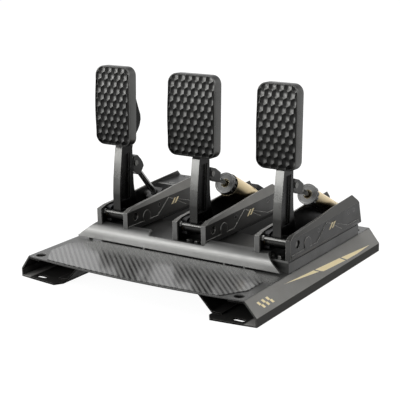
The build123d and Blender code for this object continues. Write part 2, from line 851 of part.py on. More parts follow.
def arm(name):
    """The pedal arm: hub, hollowed stem, rear lug and the head that carries the pad."""
    x = unit_x[name]
    lean = radians(pad_lean)
    foot = pad_foot(name)
    head_low = (foot[0] + head_flange_low * sin(lean), foot[1] + head_flange_low * cos(lean))
    head_top = head_flange_low + head_flange_height
    head_high = (foot[0] + head_top * sin(lean), foot[1] + head_top * cos(lean))
    front = list(zip(arm_edge_y, arm_edge_z))
    back = list(zip(head_back_y, head_back_z))
    back.reverse()
    stem_back = list(zip(arm_back_y, arm_back_z))
    outline = front + [(foot[0] - seat_gap, foot[1] - close_gap), (foot[0], foot[1]), head_low, head_high]
    outline += back + stem_back + [(arm_heel_y, arm_heel_z)]
    body = yz_plate(outline, arm_width / 2)
    body += rod_x(hub_radius, -arm_width / 2, inner_half - bush_flange - seat_gap, pivot_y, pivot_z)
    body += rod_x(hub_radius, -inner_half + sensor_depth + seat_gap, arm_width / 2, pivot_y, pivot_z)
    pocket = [
        (arm_edge_y[1] + arm_flange, arm_pocket_low),
        (arm_edge_y[2] + arm_flange, arm_edge_z[2]),
        (arm_edge_y[3] + arm_flange, arm_edge_z[3]),
        (arm_edge_y[3] + arm_flange * 2, arm_pocket_high),
        (arm_pocket_back_high_y, arm_pocket_high),
        (arm_pocket_back_low_y, arm_pocket_low),
    ]
    sunk = (arm_width - arm_web) / 2
    for side in (-1, 1):
        body -= Pos(side * (arm_width / 2), 0, 0) * yz_plate(pocket, sunk)
    body += rod_x(lug_radius, -lug_width / 2, lug_width / 2, pin_y, pin_z)
    root_y = arm_back_y[1] - arm_flange
    lug_root = [(root_y, pin_z - lug_radius), (root_y, pin_z + lug_radius)]
    lug_root += [(pin_y, pin_z + lug_radius), (pin_y, pin_z - lug_radius)]
    body += yz_plate(lug_root, lug_width / 2)
    flange = Plane(origin=(0, *head_low), x_dir=(1, 0, 0), z_dir=(0, sin(lean), cos(lean)))
    plate_size = (head_flange_width, head_flange, head_flange_height)
    plate = Box(*plate_size, align=(Align.CENTER, Align.MIN, Align.MIN))
    body += flange * plate
    body -= rod_x(pin_radius, -arm_width, arm_width, pin_y, pin_z)
    body -= rod_x(head_hole, -arm_width, arm_width, head_hole_y, head_hole_z)
    body -= rod_x(shaft_radius, -inner_half, inner_half, pivot_y, pivot_z)
    for screw in pad_screw_axes(name):
        body -= rod_along(screw, pad_screw_radius, -head_flange, head_flange + pad_screw_head * 2)
    return Pos(x, 0, 0) * body


def pad_foot(name):
    """Y and Z of the foot of a pad's back, which is set along the head plate by the pad's lift."""
    lean = radians(pad_lean)
    return (pad_foot_y + pad_lifts[name] * sin(lean), pad_foot_z + pad_lifts[name] * cos(lean))


def pad_screw_axes(name):
    """Planes whose Z runs from the pad's back out through the head plate, towards the rear."""
    foot = pad_foot(name)
    lean = radians(pad_lean)
    rise = (sin(lean), cos(lean))
    axes = []
    for along in (head_flange_low + pad_screw_inset, head_flange_low + head_flange_height - pad_screw_inset):
        for side in (-1, 1):
            origin = (side * pad_screw_x, foot[0] + along * rise[0], foot[1] + along * rise[1])
            axes.append(Plane(origin=origin, x_dir=(1, 0, 0), z_dir=(0, cos(lean), -sin(lean))))
    return axes


def pivot_shaft(name):
    """The shaft that turns with the arm, with a hex head at both ends and a magnet ring."""
    reach = wall_outer + close_gap
    shaft = rod_x(shaft_radius, -reach, reach, pivot_y, pivot_z)
    shaft += hex_x(shaft_head_radius, reach, reach + shaft_head, pivot_y, pivot_z)
    shaft += hex_x(shaft_head_radius, -reach - shaft_head, -reach, pivot_y, pivot_z)
    ring = (-inner_half + bush_flange + seat_gap, -inner_half + sensor_depth)
    shaft += rod_x(shaft_radius + magnet_wall, *ring, pivot_y, pivot_z)
    return Pos(unit_x[name], 0, 0) * shaft


def pad(name):
    """A cast pad: a convex face with a skirt, and a boss for the head plate."""
    width = pad_widths[name]
    up = (0, sin(radians(pad_lean)), cos(radians(pad_lean)))
    lean = Plane(origin=(0, *pad_foot(name)), x_dir=(1, 0, 0), z_dir=up)
    face = Plane(origin=(0, 0, pad_height / 2), x_dir=(1, 0, 0), z_dir=(0, -1, 0))
    deep = pad_depth + pad_bulge
    body = face * extrude(RectangleRounded(width, pad_height, pad_corner), deep)
    bulge_radius = ((pad_height / 2) ** 2 + pad_bulge**2) / (2 * pad_bulge)
    centre = -deep + bulge_radius
    crown = rod_x(bulge_radius, -width, width, centre, pad_height / 2)
    body &= crown
    body = fillet(body.edges().filter_by(lambda e: e.center().Y < -pad_depth + pad_edge / 2), pad_edge)
    inner_corner = pad_corner - pad_wall
    hollow = face * extrude(
        RectangleRounded(width - pad_wall * 2, pad_height - pad_wall * 2, inner_corner), pad_depth - pad_face
    )
    boss_size = (head_flange_width, pad_depth - pad_face, head_flange_height)
    boss = Box(*boss_size, align=(Align.CENTER, Align.MAX, Align.MIN))
    body -= hollow - Pos(0, 0, head_flange_low) * boss
    body = lean * body
    for screw in pad_screw_axes(name):
        body -= rod_along(screw, pad_screw_radius, -pad_depth + pad_face, cut_over)
    return Pos(unit_x[name], 0, 0) * body


def pad_screws(name):
    """Four screws from behind the head plate into the pad's boss."""
    screws = []
    for axis in pad_screw_axes(name):
        screw = rod_along(axis, pad_screw_radius, -pad_depth + pad_face, head_flange)
        screw += rod_along(axis, pad_screw_head_radius, head_flange, head_flange + pad_screw_head)
        screws.append(Pos(unit_x[name], 0, 0) * screw)
    return solids_of(*screws)


def fork_pin(name):
    """The pin through the arm's lug and the fork's ears."""
    half = arm_width / 2
    pin = rod_x(pin_radius, -half, half + pin_head, pin_y, pin_z)
    pin += rod_x(pin_head_radius, half + seat_gap, half + seat_gap + pin_head, pin_y, pin_z)
    pin += rod_x(pin_head_radius, -half - seat_gap - pin_head, -half - seat_gap, pin_y, pin_z)
    pin += rod_x(pin_radius, -half - seat_gap, -half + cut_over, pin_y, pin_z)
    return Pos(unit_x[name], 0, 0) * pin


def strut_slope_of(name):
    """The strut's angle below level, in degrees."""
    if name == "clutch":
        return degrees(atan2(pin_z - clutch_block_z, clutch_block_y - pin_y))
    return degrees(asin((pin_z - rear_eye_heights[name]) / strut_length))


def strut_point(name, s):
    """The point on a strut's axis at a distance s from the fork pin, as Y and Z."""
    slope = radians(strut_slope_of(name))
    return pin_y + s * cos(slope), pin_z - s * sin(slope)


def strut_plane(name):
    """A plane at the fork pin whose Z runs down the strut and whose Y points up from it."""
    slope = radians(strut_slope_of(name))
    along = (0, cos(slope), -sin(slope))
    return Plane(origin=(unit_x[name], pin_y, pin_z), x_dir=(-1, 0, 0), z_dir=along)


def fork(name):
    """The fork on the arm's lug: two ears and a solid end that holds the rod."""
    if name == "clutch":
        outline = zip(clutch_fork_y, clutch_fork_z)
        radius = clutch_rod_radius
    else:
        outline = zip(fork_outline_y, fork_outline_z)
        radius = rod_radius
    body = yz_plate(list(outline), arm_width / 2)
    body -= rod_x(fork_slot_reach, -fork_slot / 2, fork_slot / 2, pin_y, pin_z)
    body -= block(-fork_slot / 2, fork_slot / 2, 0, pin_y, 0, reach)
    body -= rod_x(pin_radius + running_gap, -arm_width, arm_width, pin_y, pin_z)
    body = Pos(unit_x[name], 0, 0) * body
    return body - rod_along(strut_plane(name), radius, rod_start, strut_length)


def strut_rod(name):
    """The bright rod, with a piston at its end where it runs in a cylinder."""
    plane = strut_plane(name)
    if name == "clutch":
        tail = hypot(clutch_block_y - pin_y, pin_z - clutch_block_z) + clutch_rod_tail
        return rod_along(plane, clutch_rod_radius, rod_start, tail)
    rod = rod_along(plane, rod_radius, rod_start, rod_end)
    piston = cylinder_radii[name] - cylinder_wall - piston_clearance
    return rod + rod_along(plane, piston, rod_end - piston_length, rod_end)


def adjuster(name):
    """The notched ring that sets the preload, with a dished face."""
    plane = strut_plane(name)
    radius = knob_radii[name]
    start = knob_starts[name]
    end = start + knob_lengths[name]
    ring = rod_along(plane, radius, start, end)
    ring -= rod_along(plane, radius - knob_face_rim, start - cut_over, start + knob_dish)
    for i in range(knob_lobes):
        turn = Rot(0, 0, i * 360 / knob_lobes)
        lobe = Pos(radius + knob_lobe_cut - knob_lobe_depth, 0, start + knob_dish * 2)
        notch = Cylinder(knob_lobe_cut, strut_length, align=(Align.CENTER, Align.CENTER, Align.MIN))
        ring -= plane * turn * lobe * notch
    return ring - rod_along(plane, knob_bore, start, end + cut_over)


def cylinder(name):
    """The anodised cylinder, with a neck that the adjuster turns on."""
    plane = strut_plane(name)
    radius = cylinder_radii[name]
    start = knob_starts[name] + knob_lengths[name] + seat_gap
    neck = knob_starts[name] + knob_dish
    floor = start + cylinder_wall * 2
    body = rod_along(plane, radius, start, cylinder_end)
    body -= rod_along(plane, radius - cylinder_wall, floor, cylinder_end - cylinder_end_wall)
    body += rod_along(plane, knob_bore - seat_gap, neck, floor)
    body -= rod_along(plane, cylinder_gland, neck - cut_over, floor + cut_over)
    groove = rod_along(plane, radius + cut_over, ring_groove, ring_groove + ring_groove_width)
    return body - (groove - rod_along(plane, radius - ring_groove_depth, 0, strut_length))


def end_cap(name):
    """The black cap on the cylinder's rear, with the eye that the rear pin carries."""
    plane = strut_plane(name)
    x = unit_x[name]
    eye = strut_point(name, strut_length)
    cap = rod_along(plane, cylinder_radii[name], cylinder_end, cylinder_end + cap_length)
    cap += rod_x(eye_radius, x - eye_width / 2, x + eye_width / 2, *eye)
    web_size = (eye_width, eye_radius * 2, strut_length - cylinder_end)
    web = Box(*web_size, align=(Align.CENTER, Align.CENTER, Align.MIN))
    cap += plane * Pos(0, 0, cylinder_end) * web
    if name == "brake":
        length = sensor_block_end - sensor_block_start
        housing_size = (sensor_block_width, sensor_block_top, length)
        housing = Box(*housing_size, align=(Align.CENTER, Align.MIN, Align.MIN))
        cap += plane * Pos(0, 0, sensor_block_start) * housing
        cap -= rod_along(plane, cylinder_radii[name] + running_gap, 0, cylinder_end)
    return cap - rod_x(rear_pin_radius + running_gap, x - unit_half, x + unit_half, *eye)


def damper_spring(name):
    """The return spring behind the piston, hidden in the cylinder."""
    start = rod_end + spring_wire / 2 + seat_gap
    height = cylinder_end - cylinder_end_wall - rod_end - spring_wire - seat_gap * 2
    radius = cylinder_radii[name] - cylinder_wall - spring_clearance - spring_wire / 2
    path = Helix(height / spring_turns, height, radius)
    section = Plane(origin=path @ 0, z_dir=path % 0) * Circle(spring_wire / 2)
    coil = sweep(section, path=path, is_frenet=True)
    return strut_plane(name) * Pos(0, 0, start) * coil


def rear_pins():
    """The pins through both walls that carry the cylinders and the clutch block."""
    pins = []
    for name in ("brake", "throttle"):
        x = unit_x[name]
        y, z = strut_point(name, strut_length)
        pin = rod_x(rear_pin_radius, x - wall_outer, x + wall_outer, y, z)
        gap = eye_width / 2 + seat_gap
        pin += rod_x(rear_sleeve_radius, x + gap, x + inner_half, y, z)
        pin += rod_x(rear_sleeve_radius, x - inner_half, x - gap, y, z)
        pins.append(pin)
    x = unit_x["clutch"]
    for side in (-1, 1):
        reach = sorted((x + side * (clutch_block_side / 2 - wall), x + side * wall_outer))
        pin = rod_x(rear_pin_radius, *reach, clutch_block_y, clutch_block_z)
        sleeve = sorted((x + side * (clutch_block_side / 2 + seat_gap), x + side * inner_half))
        pins.append(pin + rod_x(rear_sleeve_radius, *sleeve, clutch_block_y, clutch_block_z))
    return solids_of(*pins)


def clutch_block():
    """The swivelling block that the clutch rod slides through."""
    plane = strut_plane("clutch")
    reach = hypot(clutch_block_y - pin_y, pin_z - clutch_block_z)
    side = clutch_block_side
    body = plane * Pos(0, 0, reach) * Box(side, side - wall, clutch_block_length)
    body -= rod_along(plane, clutch_gland, 0, reach * 2)
    x = unit_x["clutch"]
    hole = rod_x(rear_pin_radius + running_gap, x - side, x + side, clutch_block_y, clutch_block_z)
    return body - hole


def export_all():
    """Move every piece to the shared origin and write one file for each."""
    os.makedirs("parts", exist_ok=True)
    for node, shape in unit_parts.items():
        parts[node] = Pos(0, units_shift, 0) * shape
    for node, shape in parts.items():
        export_step(Pos(0, -centre_y, 0) * shape, f"parts/{node}.step")


parts["deck_plate"] = deck_plate()
for label, side in (("left", -1), ("right", 1)):
    parts[f"side_rail_{label}"] = side_rail(side)
    parts[f"rail_brace_{label}"] = rail_brace(side)
parts["foot_plate"] = foot_plate()
unit_parts["heel_bar"] = heel_bar()
unit_parts["platform"] = platform()
parts["control_box"] = control_box()
parts["control_box_lid"] = control_box_lid()
parts["control_board"] = control_board()
parts["usb_socket"] = usb_socket()
parts["deck_screws"] = deck_screws()
unit_parts["bracket_screws"] = bracket_screws()
unit_parts["bracket_nuts"] = bracket_nuts()
unit_parts["cover_screws"] = cover_screws()
unit_parts["pivot_bushes"] = pivot_bushes()
unit_parts["tie_rods"] = tie_rods()
unit_parts["angle_sensors"] = angle_sensors()
unit_parts["rear_pins"] = rear_pins()
for name in unit_names:
    unit_parts[f"{name}_bracket"] = bracket(name)
    unit_parts[f"{name}_cover_left"] = cover(name, -1)
    unit_parts[f"{name}_cover_right"] = cover(name, 1)
    unit_parts[f"{name}_arm"] = arm(name)
    unit_parts[f"{name}_pivot_shaft"] = pivot_shaft(name)
    unit_parts[f"{name}_pad"] = pad(name)
    unit_parts[f"{name}_pad_screws"] = pad_screws(name)
    unit_parts[f"{name}_fork_pin"] = fork_pin(name)
    unit_parts[f"{name}_fork"] = fork(name)
    unit_parts[f"{name}_rod"] = strut_rod(name)
for name in ("brake", "throttle"):
    unit_parts[f"{name}_adjuster"] = adjuster(name)
    unit_parts[f"{name}_cylinder"] = cylinder(name)
    unit_parts[f"{name}_end_cap"] = end_cap(name)
    unit_parts[f"{name}_spring"] = damper_spring(name)
unit_parts["clutch_block"] = clutch_block()

export_all()
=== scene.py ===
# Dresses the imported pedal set: camera, light, materials, and the pieces whose detail the
# solids leave out. Metres, in the part's own frame: +X right, +Y away from the driver, +Z up.
import json
from math import cos, hypot, pi, radians, sin, sqrt

import bmesh
import bpy
from mathutils import Matrix, Vector
from mathutils.geometry import delaunay_2d_cdt


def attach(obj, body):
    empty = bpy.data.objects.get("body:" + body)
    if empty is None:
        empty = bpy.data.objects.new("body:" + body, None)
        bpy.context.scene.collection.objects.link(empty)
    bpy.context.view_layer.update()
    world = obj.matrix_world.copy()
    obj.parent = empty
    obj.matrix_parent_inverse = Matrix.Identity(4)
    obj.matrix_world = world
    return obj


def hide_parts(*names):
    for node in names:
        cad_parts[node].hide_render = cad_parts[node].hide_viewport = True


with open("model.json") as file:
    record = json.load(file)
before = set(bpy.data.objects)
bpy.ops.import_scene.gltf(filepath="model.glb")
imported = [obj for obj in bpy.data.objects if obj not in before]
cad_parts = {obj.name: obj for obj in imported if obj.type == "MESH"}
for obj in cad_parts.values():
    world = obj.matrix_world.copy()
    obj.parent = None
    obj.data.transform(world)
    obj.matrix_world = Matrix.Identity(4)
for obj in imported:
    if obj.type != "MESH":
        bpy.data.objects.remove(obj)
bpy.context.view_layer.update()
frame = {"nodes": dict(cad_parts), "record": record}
nodes = frame["nodes"]
scene = bpy.context.scene

mm = 0.001
y_shift = 197.75  # the source's y at the centre of this frame, in millimetres
unit_x = {"clutch": -126.7, "brake": 22.0, "throttle": 169.5}


# Camera, fitted to points of the photograph

camera_azimuth = 33.345
camera_elevation = 15.062
camera_roll = -0.832
camera_place = (0.92099, -1.40596, 0.56042)
camera_lens = 97.948
camera_sensor = 36
camera_reach = 50


def add_camera():
    """The photograph's viewpoint."""
    azimuth, elevation, roll = radians(camera_azimuth), radians(camera_elevation), radians(camera_roll)
    ahead = Vector((-sin(azimuth) * cos(elevation), cos(azimuth) * cos(elevation), -sin(elevation)))
    right = Vector((cos(azimuth), sin(azimuth), 0))
    up = right.cross(ahead)
    right_rolled = cos(roll) * right + sin(roll) * up
    up_rolled = -sin(roll) * right + cos(roll) * up
    data = bpy.data.cameras.new("camera")
    data.lens = camera_lens
    data.sensor_width = camera_sensor
    data.clip_end = camera_reach
    camera = bpy.data.objects.new("camera", data)
    turn = Matrix((right_rolled, up_rolled, -ahead)).transposed().to_4x4()
    camera.matrix_world = Matrix.Translation(camera_place) @ turn
    scene.collection.objects.link(camera)
    scene.camera = camera


# Light and floor

ambient_strength = 0.12
white = (1, 1, 1, 1)
# name, place, target, size, watts
lamps = (
    ("left", (-2.2, -0.7, 1.0), (0, 0, 0.2), (1.5, 1.5), 58),
    ("front", (-0.9, -2.2, 0.9), (0, 0, 0.14), (1.4, 1.2), 30),
    ("top", (-0.1, 0.3, 2.2), (0, 0, 0.05), (1.8, 1.8), 38),
    ("right", (2.0, 0.1, 1.7), (0.1, 0, 0.05), (1.4, 1.4), 20),
)
floor_reach = 30
floor_drop = 0.0005
floor_colour = (0.12, 0.12, 0.12, 1)
# how far from the middle the floor's own glow starts and stops to rise, and its least strength
glow_near, glow_far, glow_least = 0.25, 1.4, 0.95


def add_light(name, place, target, size, power):
    data = bpy.data.lights.new(name, "AREA")
    data.shape = "RECTANGLE"
    data.size, data.size_y = size
    data.energy = power
    light = bpy.data.objects.new(name, data)
    turn = (Vector(target) - Vector(place)).to_track_quat("-Z", "Y").to_matrix().to_4x4()
    light.matrix_world = Matrix.Translation(place) @ turn
    scene.collection.objects.link(light)


def seen_directly(tree):
    """One where a camera, mirror or glass ray meets the surface, and nought elsewhere."""
    path = tree.nodes.new("ShaderNodeLightPath")
    seen = path.outputs["Is Camera Ray"]
    for ray in ("Is Glossy Ray", "Is Transmission Ray"):
        either = tree.nodes.new("ShaderNodeMath")
        either.operation = "MAXIMUM"
        tree.links.new(seen, either.inputs[0])
        tree.links.new(path.outputs[ray], either.inputs[1])
        seen = either.outputs[0]
    return seen


def add_world():
    """A dim even light on the object, seen as white by the camera and in mirrors and glass."""
    scene.view_settings.view_transform = "Standard"
    world = bpy.data.worlds.new("studio")
    world.use_nodes = True
    tree = world.node_tree
    tree.nodes.clear()
    out = tree.nodes.new("ShaderNodeOutputWorld")
    mix = tree.nodes.new("ShaderNodeMixShader")
    tree.links.new(seen_directly(tree), mix.inputs[0])
    for place, strength in ((1, ambient_strength), (2, 1.0)):
        background = tree.nodes.new("ShaderNodeBackground")
        background.inputs["Color"].default_value = white
        background.inputs["Strength"].default_value = strength
        tree.links.new(background.outputs[0], mix.inputs[place])
    tree.links.new(mix.outputs[0], out.inputs[0])
    scene.world = world


def add_floor():
    """A floor that is white to the camera and still takes the object's shadow."""
    floor = bpy.data.meshes.new("floor")
    r = floor_reach
    floor.from_pydata([(-r, -r, 0), (r, -r, 0), (r, r, 0), (-r, r, 0)], [], [(0, 1, 2, 3)])
    floor_object = bpy.data.objects.new("floor", floor)
    floor_object.location.z = -floor_drop
    scene.collection.objects.link(floor_object)
    material = bpy.data.materials.new("floor")
    material.use_nodes = True
    tree = material.node_tree
    tree.nodes.clear()
    out = tree.nodes.new("ShaderNodeOutputMaterial")
    matte = tree.nodes.new("ShaderNodeBsdfDiffuse")
    matte.inputs["Color"].default_value = floor_colour
    glow = tree.nodes.new("ShaderNodeEmission")
    glow.inputs["Color"].default_value = white
    place = tree.nodes.new("ShaderNodeTexCoord")
    far = tree.nodes.new("ShaderNodeVectorMath")
    far.operation = "LENGTH"
    tree.links.new(place.outputs["Object"], far.inputs[0])
    level = tree.nodes.new("ShaderNodeMapRange")
    tree.links.new(far.outputs["Value"], level.inputs["Value"])
    spans = (("From Min", glow_near), ("From Max", glow_far), ("To Min", glow_least), ("To Max", 1.0))
    for name, value in spans:
        level.inputs[name].default_value = value
    strength = tree.nodes.new("ShaderNodeMath")
    strength.operation = "MULTIPLY"
    tree.links.new(seen_directly(tree), strength.inputs[0])
    tree.links.new(level.outputs[0], strength.inputs[1])
    tree.links.new(strength.outputs[0], glow.inputs["Strength"])
    both = tree.nodes.new("ShaderNodeAddShader")
    tree.links.new(matte.outputs[0], both.inputs[0])
    tree.links.new(glow.outputs[0], both.inputs[1])
    tree.links.new(both.outputs[0], out.inputs[0])
    floor.materials.append(material)


# Materials

tone_low, tone_high = 0.36, 0.64
cloud_scale, cloud_share = 38.0, 0.55
# patch size of the lighter edges, which are partly wear and partly a painted highlight
edge_wear_and_highlight_scale = 160.0
# where the painted highlight on driver-facing faces comes in by normal Y, and how much it varies
front_from, front_to, front_spread = -0.7, -0.93, 1.25
rough_spread, rough_least = 0.06, 0.03
noise_roughness = 0.55


def linear(colour):
    """A colour given from 0 to 255 as it is seen, as the light that a shader works with."""
    made = []
    for level in colour:
        c = level / 255
        made.append(c / 12.92 if c <= 0.04045 else ((c + 0.055) / 1.055) ** 2.4)
    return (*made, 1)


class Graph:
    """Short names for building a node tree."""

    def __init__(self, name):
        self.material = bpy.data.materials.new(name)
        self.material.use_nodes = True
        self.tree = self.material.node_tree
        self.tree.nodes.clear()
        self.shader = self.add("ShaderNodeBsdfPrincipled")
        out = self.add("ShaderNodeOutputMaterial")
        self.link(self.shader.outputs[0], out.inputs[0])
        self.place = self.add("ShaderNodeTexCoord").outputs["Object"]

    def add(self, kind, **settings):
        node = self.tree.nodes.new(kind)
        for key, value in settings.items():
            setattr(node, key, value)
        return node

    def link(self, source, target):
        self.tree.links.new(source, target)

    def feed(self, socket, value):
        if isinstance(value, bpy.types.NodeSocket):
            self.link(value, socket)
        else:
            socket.default_value = value

    def math(self, operation, a, b=0.0):
        node = self.add("ShaderNodeMath", operation=operation)
        for socket, value in zip(node.inputs, (a, b)):
            self.feed(socket, value)
        return node.outputs[0]

    def noise(self, scale, detail, stretch=None):
        node = self.add("ShaderNodeTexNoise")
        node.inputs["Scale"].default_value = scale
        node.inputs["Detail"].default_value = detail
        node.inputs["Roughness"].default_value = noise_roughness
        if stretch:
            spread = self.add("ShaderNodeMapping")
            spread.inputs["Scale"].default_value = stretch
            self.link(self.place, spread.inputs["Vector"])
            self.link(spread.outputs[0], node.inputs["Vector"])
        else:
            self.link(self.place, node.inputs["Vector"])
        return node.outputs["Fac"]

    def span(self, value, low, high, to_low=0.0, to_high=1.0):
        """A value spread from one range to another, and held at its ends."""
        node = self.add("ShaderNodeMapRange")
        ends = {"Value": value, "From Min": low, "From Max": high, "To Min": to_low, "To Max": to_high}
        for name, level in ends.items():
            self.feed(node.inputs[name], level)
        return node.outputs[0]

    def mix(self, share, a, b):
        node = self.add("ShaderNodeMix", data_type="RGBA")
        self.feed(node.inputs[0], share)
        self.feed(node.inputs[6], a)
        self.feed(node.inputs[7], b)
        return node.outputs[2]

    def edges(self, radius):
        """The normal with rounded edges, and how near an edge a point is."""
        bevel = self.add("ShaderNodeBevel", samples=6)
        bevel.inputs["Radius"].default_value = radius
        flat = self.add("ShaderNodeNewGeometry")
        dot = self.add("ShaderNodeVectorMath", operation="DOT_PRODUCT")
        self.link(bevel.outputs[0], dot.inputs[0])
        self.link(flat.outputs["Normal"], dot.inputs[1])
        return bevel.outputs[0], self.span(dot.outputs["Value"], 0.995, 0.85)

    def part_of(self, output, axis):
        """One axis of where a point is or of how it faces; "side" is X without its sign."""
        split = self.add("ShaderNodeSeparateXYZ")
        self.link(self.add("ShaderNodeTexCoord").outputs[output], split.inputs[0])
        return self.math("ABSOLUTE", split.outputs["X"]) if axis == "side" else split.outputs[axis]

    def bump(self, height, distance, normal):
        node = self.add("ShaderNodeBump")
        node.inputs["Strength"].default_value = 1.0
        node.inputs["Distance"].default_value = distance
        self.link(height, node.inputs["Height"])
        self.link(normal, node.inputs["Normal"])
        return node.outputs[0]


def finish(
    name,
    colour,
    rough,
    metal=0.0,
    vary=0.18,
    grain=1400.0,
    dent=0.00004,
    edge=None,
    edge_share=0.6,
    radius=0.0006,
    stretch=None,
    specular=0.25,
    front=None,
    shades=(),
):
    """Paint, plastic or bare metal: cloudy colour, fine grain, and lighter edges: wear and a painted
    highlight.

    front is the colour of faces that look towards the driver. Each of the shades darkens a
    part of the piece: (output, axis, from, to, factor), by which way a face looks or by where
    it is in metres. From the first value to the second the tone falls to the factor. Shades
    stand for the photograph's own light and shadow, and aren't in the real paint.
    """
    g = Graph(name)
    base = linear(colour)
    dark = (*[c * (1 - vary) for c in base[:3]], 1)
    light = (*[min(1, c * (1 + vary)) for c in base[:3]], 1)
    clouds = g.noise(cloud_scale, 4.0, stretch)
    fine = g.noise(grain, 2.0, stretch)
    coarse_share = g.math("MULTIPLY", clouds, cloud_share)
    shade = g.math("ADD", coarse_share, g.math("MULTIPLY", fine, 1 - cloud_share))
    patchy = g.span(shade, tone_low, tone_high)
    tone = g.mix(patchy, dark, light)
    # Driver-facing faces take the front colour: a painted highlight.
    if front:
        bright = g.mix(patchy, linear(front), (*[c * front_spread for c in linear(front)[:3]], 1))
        tone = g.mix(g.span(g.part_of("Normal", "Y"), front_from, front_to), tone, bright)
    # The shades are painted shade: each darkens part of the piece towards black.
    for output, axis, low, high, factor in shades:
        fall = g.span(g.part_of(output, axis), low, high, 0.0, 1 - factor)
        tone = g.mix(fall, tone, (0, 0, 0, 1))
    # Edges are lightened in patches towards the edge colour: partly wear, partly a painted highlight.
    normal, near = g.edges(radius)
    edge_wear_and_highlight = g.span(g.noise(edge_wear_and_highlight_scale, 3.0), 0.3, 0.6, edge_share * 0.5, edge_share)
    rim = linear(edge) if edge else (*[min(1, c * 1.9 + 0.01) for c in base[:3]], 1)
    g.link(g.mix(g.math("MULTIPLY", near, edge_wear_and_highlight), tone, rim), g.shader.inputs["Base Color"])
    smooth, dull = max(rough_least, rough - rough_spread), min(1, rough + rough_spread)
    g.link(g.span(clouds, 0.35, 0.65, smooth, dull), g.shader.inputs["Roughness"])
    g.shader.inputs["Metallic"].default_value = metal
    g.shader.inputs["Specular IOR Level"].default_value = specular
    g.link(g.bump(fine, dent, normal), g.shader.inputs["Normal"])
    return g.material


def carbon_weave(name):
    """A twill weave under a clear coat: diagonal ribs, dark and light by turns as a painted sheen.

    Towards the heel bar it darkens and the coat thins, for the bar's shade in the photograph.
    """
    g = Graph(name)
    tow = 0.0026
    # Near black: the gaps between tows, also laid on as painted shade at each tow's edges and near the
    # heel bar.
    tow_gap_and_shade = linear((6, 6, 6))
    coat, coat_loss = 0.6, 0.42
    split = g.add("ShaderNodeSeparateXYZ")
    g.link(g.place, split.inputs[0])
    u = g.math("DIVIDE", split.outputs["X"], tow)
    v = g.math("DIVIDE", split.outputs["Y"], tow)
    step = g.math("FLOORED_MODULO", g.math("ADD", g.math("FLOOR", u), g.math("FLOOR", v)), 4.0)
    over = g.math("LESS_THAN", step, 2.0)
    across_u = g.math("SINE", g.math("MULTIPLY", g.math("FRACT", u), pi))
    across_v = g.math("SINE", g.math("MULTIPLY", g.math("FRACT", v), pi))
    under = g.math("SUBTRACT", 1.0, over)
    crown = g.math("ADD", g.math("MULTIPLY", across_u, over), g.math("MULTIPLY", across_v, under))
    threads = g.noise(2600.0, 2.0)
    # Broad cloudy bands of brightness: a painted sheen.
    sheen_bands = g.noise(22.0, 4.0)
    dark = g.mix(sheen_bands, linear((4, 4, 4)), linear((8, 8, 8)))
    light = g.mix(sheen_bands, linear((84, 84, 82)), linear((100, 100, 98)))
    # Tows over and under differ in tone: a painted sheen.
    tone = g.mix(over, dark, light)
    # Each tow is darker towards its edges: painted shade across its round.
    shaded = g.mix(g.span(crown, 0.0, 0.9, 0.6, 0.0), tone, tow_gap_and_shade)
    # Painted shade of the heel bar on the plate near it, where the coat is also thinned.
    near_heel = g.span(split.outputs["Y"], -0.14, -0.105)
    g.link(g.mix(g.math("MULTIPLY", near_heel, 0.6), shaded, tow_gap_and_shade), g.shader.inputs["Base Color"])
    thinner = g.math("MULTIPLY", near_heel, coat_loss)
    g.link(g.math("SUBTRACT", coat, thinner), g.shader.inputs["Coat Weight"])
    g.link(g.mix(over, (0.24, 0.24, 0.24, 1), (0.36, 0.36, 0.36, 1)), g.shader.inputs["Roughness"])
    normal, _ = g.edges(0.0005)
    height = g.math("ADD", crown, g.math("MULTIPLY", threads, 0.2))
    g.link(g.bump(height, 0.00004, normal), g.shader.inputs["Normal"])
    g.shader.inputs["Coat Roughness"].default_value = 0.13
    return g.material
